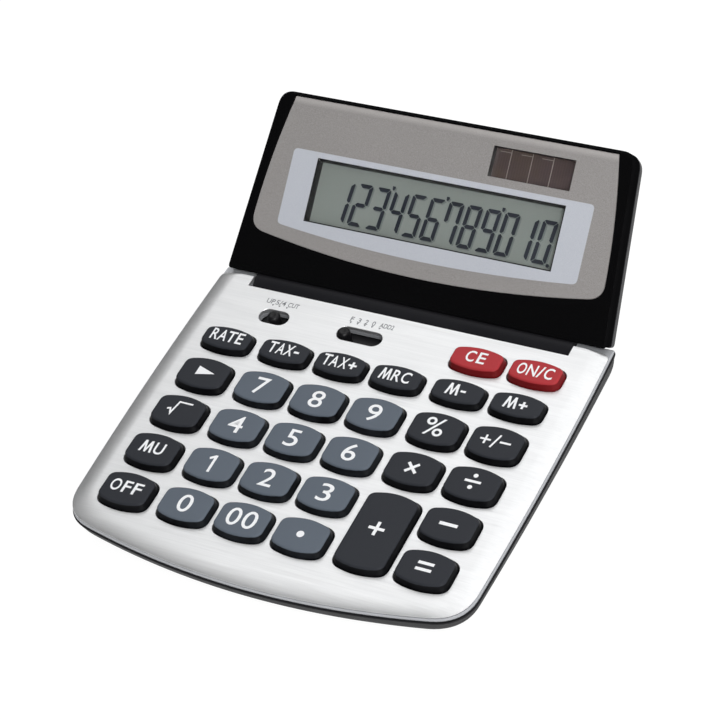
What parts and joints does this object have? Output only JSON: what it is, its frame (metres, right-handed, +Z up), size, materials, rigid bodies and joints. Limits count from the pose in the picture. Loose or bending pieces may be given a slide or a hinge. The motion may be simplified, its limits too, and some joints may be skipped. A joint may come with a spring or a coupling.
{
  "type": "desktop calculator",
  "caption": "Desktop calculator with a sloping brushed cover, bowed keys that travel, two slide switches and a tilting display with a solar cell.",
  "frame": {"origin": "under the middle of the whole calculator, on the plane that its feet stand on", "axes": "+Z up, +Y from the front edge towards the display, +X to the user's right"},
  "size_m": [0.1168, 0.1384, 0.0541],
  "materials": {
    "brushed_cover": "brushed along the width, satin",
    "trim_silver": "satin silver paint on plastic",
    "case_grey": "fine moulded texture",
    "key_slate": "satin",
    "key_charcoal": "satin",
    "key_red": "satin",
    "gloss_black": "high gloss",
    "window_taupe": "clear sheet printed behind, high gloss",
    "pale_frame": "smooth",
    "lcd_glass": "matt polariser",
    "solar_glass": "smooth",
    "circuit_board": "solder resist",
    "silicone": "matt",
    "steel": "bright",
    "ribbon": "smooth film",
    "foot_rubber": "matt"
  },
  "bodies": {
    "base": {"top_cover": "brushed_cover", "upper_case": "trim_silver", "bottom_case": "case_grey", "main_board": "circuit_board", "dome_sheet": "silicone", "battery_door": "case_grey", "battery_door_screw": "steel", "button_cell": "steel", "battery_contact_top": "steel", "battery_contact_side": "steel", "ribbon_cable": "ribbon", "hinge_pin_left": "steel", "hinge_pin_right": "steel", "foot_front_left": "foot_rubber", "case_screw_front_left": "steel", "foot_front_right": "foot_rubber", "case_screw_front_right": "steel", "foot_rear_left": "foot_rubber", "case_screw_rear_left": "steel", "foot_rear_right": "foot_rubber", "case_screw_rear_right": "steel"},
    "display": {"display_front": "gloss_black", "display_back": "case_grey", "display_window": "window_taupe", "lcd_frame": "pale_frame", "lcd_panel": "lcd_glass", "solar_cell": "solar_glass"},
    "rounding_switch": {"rounding_switch": "key_charcoal"},
    "decimal_switch": {"decimal_switch": "key_charcoal"},
    "key_off": {"key_off": "key_charcoal"},
    "key_0": {"key_0": "key_slate"},
    "key_00": {"key_00": "key_slate"},
    "key_point": {"key_point": "key_slate"},
    "key_equals": {"key_equals": "key_charcoal"},
    "key_mu": {"key_mu": "key_charcoal"},
    "key_1": {"key_1": "key_slate"},
    "key_2": {"key_2": "key_slate"},
    "key_3": {"key_3": "key_slate"},
    "key_minus": {"key_minus": "key_charcoal"},
    "key_root": {"key_root": "key_charcoal"},
    "key_4": {"key_4": "key_slate"},
    "key_5": {"key_5": "key_slate"},
    "key_6": {"key_6": "key_slate"},
    "key_times": {"key_times": "key_charcoal"},
    "key_divide": {"key_divide": "key_charcoal"},
    "key_arrow": {"key_arrow": "key_charcoal"},
    "key_7": {"key_7": "key_slate"},
    "key_8": {"key_8": "key_slate"},
    "key_9": {"key_9": "key_slate"},
    "key_percent": {"key_percent": "key_charcoal"},
    "key_sign": {"key_sign": "key_charcoal"},
    "key_rate": {"key_rate": "key_charcoal"},
    "key_tax_minus": {"key_tax_minus": "key_charcoal"},
    "key_tax_plus": {"key_tax_plus": "key_charcoal"},
    "key_mrc": {"key_mrc": "key_charcoal"},
    "key_m_minus": {"key_m_minus": "key_charcoal"},
    "key_m_plus": {"key_m_plus": "key_charcoal"},
    "key_ce": {"key_ce": "key_red"},
    "key_on_c": {"key_on_c": "key_red"},
    "key_plus": {"key_plus": "key_charcoal"}
  },
  "joints": [
    {"name": "display_tilt", "type": "hinge", "parent": "base", "child": "display", "pos_m": [0, 0.0279, 0.01558], "axis": [1, 0, 0], "range_deg": [-37.4, 17.6], "deforming": ["ribbon_cable"]},
    {"name": "rounding_switch_slide", "type": "slide", "parent": "base", "child": "rounding_switch", "axis": [1, 0, 0], "range_m": [-0.0025, 0.0025]},
    {"name": "decimal_switch_slide", "type": "slide", "parent": "base", "child": "decimal_switch", "axis": [1, 0, 0], "range_m": [0, 0.0094]},
    {"name": "key_off_press", "type": "slide", "parent": "base", "child": "key_off", "axis": [0, 0.0872, -0.9962], "range_m": [0, 0.0015], "stiffness_N_per_m": 300, "springref_m": -0.0005, "deforming": ["dome_sheet"]},
    {"name": "key_0_press", "type": "slide", "parent": "base", "child": "key_0", "axis": [0, 0.0872, -0.9962], "range_m": [0, 0.0015], "stiffness_N_per_m": 300, "springref_m": -0.0005, "deforming": ["dome_sheet"]},
    {"name": "key_00_press", "type": "slide", "parent": "base", "child": "key_00", "axis": [0, 0.0872, -0.9962], "range_m": [0, 0.0015], "stiffness_N_per_m": 300, "springref_m": -0.0005, "deforming": ["dome_sheet"]},
    {"name": "key_point_press", "type": "slide", "parent": "base", "child": "key_point", "axis": [0, 0.0872, -0.9962], "range_m": [0, 0.0015], "stiffness_N_per_m": 300, "springref_m": -0.0005, "deforming": ["dome_sheet"]},
    {"name": "key_equals_press", "type": "slide", "parent": "base", "child": "key_equals", "axis": [0, 0.0872, -0.9962], "range_m": [0, 0.0015], "stiffness_N_per_m": 300, "springref_m": -0.0005, "deforming": ["dome_sheet"]},
    {"name": "key_mu_press", "type": "slide", "parent": "base", "child": "key_mu", "axis": [0, 0.0872, -0.9962], "range_m": [0, 0.0015], "stiffness_N_per_m": 300, "springref_m": -0.0005, "deforming": ["dome_sheet"]},
    {"name": "key_1_press", "type": "slide", "parent": "base", "child": "key_1", "axis": [0, 0.0872, -0.9962], "range_m": [0, 0.0015], "stiffness_N_per_m": 300, "springref_m": -0.0005, "deforming": ["dome_sheet"]},
    {"name": "key_2_press", "type": "slide", "parent": "base", "child": "key_2", "axis": [0, 0.0872, -0.9962], "range_m": [0, 0.0015], "stiffness_N_per_m": 300, "springref_m": -0.0005, "deforming": ["dome_sheet"]},
    {"name": "key_3_press", "type": "slide", "parent": "base", "child": "key_3", "axis": [0, 0.0872, -0.9962], "range_m": [0, 0.0015], "stiffness_N_per_m": 300, "springref_m": -0.0005, "deforming": ["dome_sheet"]},
    {"name": "key_minus_press", "type": "slide", "parent": "base", "child": "key_minus", "axis": [0, 0.0872, -0.9962], "range_m": [0, 0.0015], "stiffness_N_per_m": 300, "springref_m": -0.0005, "deforming": ["dome_sheet"]},
    {"name": "key_root_press", "type": "slide", "parent": "base", "child": "key_root", "axis": [0, 0.0872, -0.9962], "range_m": [0, 0.0015], "stiffness_N_per_m": 300, "springref_m": -0.0005, "deforming": ["dome_sheet"]},
    {"name": "key_4_press", "type": "slide", "parent": "base", "child": "key_4", "axis": [0, 0.0872, -0.9962], "range_m": [0, 0.0015], "stiffness_N_per_m": 300, "springref_m": -0.0005, "deforming": ["dome_sheet"]},
    {"name": "key_5_press", "type": "slide", "parent": "base", "child": "key_5", "axis": [0, 0.0872, -0.9962], "range_m": [0, 0.0015], "stiffness_N_per_m": 300, "springref_m": -0.0005, "deforming": ["dome_sheet"]},
    {"name": "key_6_press", "type": "slide", "parent": "base", "child": "key_6", "axis": [0, 0.0872, -0.9962], "range_m": [0, 0.0015], "stiffness_N_per_m": 300, "springref_m": -0.0005, "deforming": ["dome_sheet"]},
    {"name": "key_times_press", "type": "slide", "parent": "base", "child": "key_times", "axis": [0, 0.0872, -0.9962], "range_m": [0, 0.0015], "stiffness_N_per_m": 300, "springref_m": -0.0005, "deforming": ["dome_sheet"]},
    {"name": "key_divide_press", "type": "slide", "parent": "base", "child": "key_divide", "axis": [0, 0.0872, -0.9962], "range_m": [0, 0.0015], "stiffness_N_per_m": 300, "springref_m": -0.0005, "deforming": ["dome_sheet"]},
    {"name": "key_arrow_press", "type": "slide", "parent": "base", "child": "key_arrow", "axis": [0, 0.0872, -0.9962], "range_m": [0, 0.0015], "stiffness_N_per_m": 300, "springref_m": -0.0005, "deforming": ["dome_sheet"]},
    {"name": "key_7_press", "type": "slide", "parent": "base", "child": "key_7", "axis": [0, 0.0872, -0.9962], "range_m": [0, 0.0015], "stiffness_N_per_m": 300, "springref_m": -0.0005, "deforming": ["dome_sheet"]},
    {"name": "key_8_press", "type": "slide", "parent": "base", "child": "key_8", "axis": [0, 0.0872, -0.9962], "range_m": [0, 0.0015], "stiffness_N_per_m": 300, "springref_m": -0.0005, "deforming": ["dome_sheet"]},
    {"name": "key_9_press", "type": "slide", "parent": "base", "child": "key_9", "axis": [0, 0.0872, -0.9962], "range_m": [0, 0.0015], "stiffness_N_per_m": 300, "springref_m": -0.0005, "deforming": ["dome_sheet"]},
    {"name": "key_percent_press", "type": "slide", "parent": "base", "child": "key_percent", "axis": [0, 0.0872, -0.9962], "range_m": [0, 0.0015], "stiffness_N_per_m": 300, "springref_m": -0.0005, "deforming": ["dome_sheet"]},
    {"name": "key_sign_press", "type": "slide", "parent": "base", "child": "key_sign", "axis": [0, 0.0872, -0.9962], "range_m": [0, 0.0015], "stiffness_N_per_m": 300, "springref_m": -0.0005, "deforming": ["dome_sheet"]},
    {"name": "key_rate_press", "type": "slide", "parent": "base", "child": "key_rate", "axis": [0, 0.0872, -0.9962], "range_m": [0, 0.0015], "stiffness_N_per_m": 300, "springref_m": -0.0005, "deforming": ["dome_sheet"]},
    {"name": "key_tax_minus_press", "type": "slide", "parent": "base", "child": "key_tax_minus", "axis": [0, 0.0872, -0.9962], "range_m": [0, 0.0015], "stiffness_N_per_m": 300, "springref_m": -0.0005, "deforming": ["dome_sheet"]},
    {"name": "key_tax_plus_press", "type": "slide", "parent": "base", "child": "key_tax_plus", "axis": [0, 0.0872, -0.9962], "range_m": [0, 0.0015], "stiffness_N_per_m": 300, "springref_m": -0.0005, "deforming": ["dome_sheet"]},
    {"name": "key_mrc_press", "type": "slide", "parent": "base", "child": "key_mrc", "axis": [0, 0.0872, -0.9962], "range_m": [0, 0.0015], "stiffness_N_per_m": 300, "springref_m": -0.0005, "deforming": ["dome_sheet"]},
    {"name": "key_m_minus_press", "type": "slide", "parent": "base", "child": "key_m_minus", "axis": [0, 0.0872, -0.9962], "range_m": [0, 0.0015], "stiffness_N_per_m": 300, "springref_m": -0.0005, "deforming": ["dome_sheet"]},
    {"name": "key_m_plus_press", "type": "slide", "parent": "base", "child": "key_m_plus", "axis": [0, 0.0872, -0.9962], "range_m": [0, 0.0015], "stiffness_N_per_m": 300, "springref_m": -0.0005, "deforming": ["dome_sheet"]},
    {"name": "key_ce_press", "type": "slide", "parent": "base", "child": "key_ce", "axis": [0, 0.0872, -0.9962], "range_m": [0, 0.0015], "stiffness_N_per_m": 300, "springref_m": -0.0005, "deforming": ["dome_sheet"]},
    {"name": "key_on_c_press", "type": "slide", "parent": "base", "child": "key_on_c", "axis": [0, 0.0872, -0.9962], "range_m": [0, 0.0015], "stiffness_N_per_m": 300, "springref_m": -0.0005, "deforming": ["dome_sheet"]},
    {"name": "key_plus_press", "type": "slide", "parent": "base", "child": "key_plus", "axis": [0, 0.0872, -0.9962], "range_m": [0, 0.0015], "stiffness_N_per_m": 300, "springref_m": -0.0005, "deforming": ["dome_sheet"]}
  ]
}
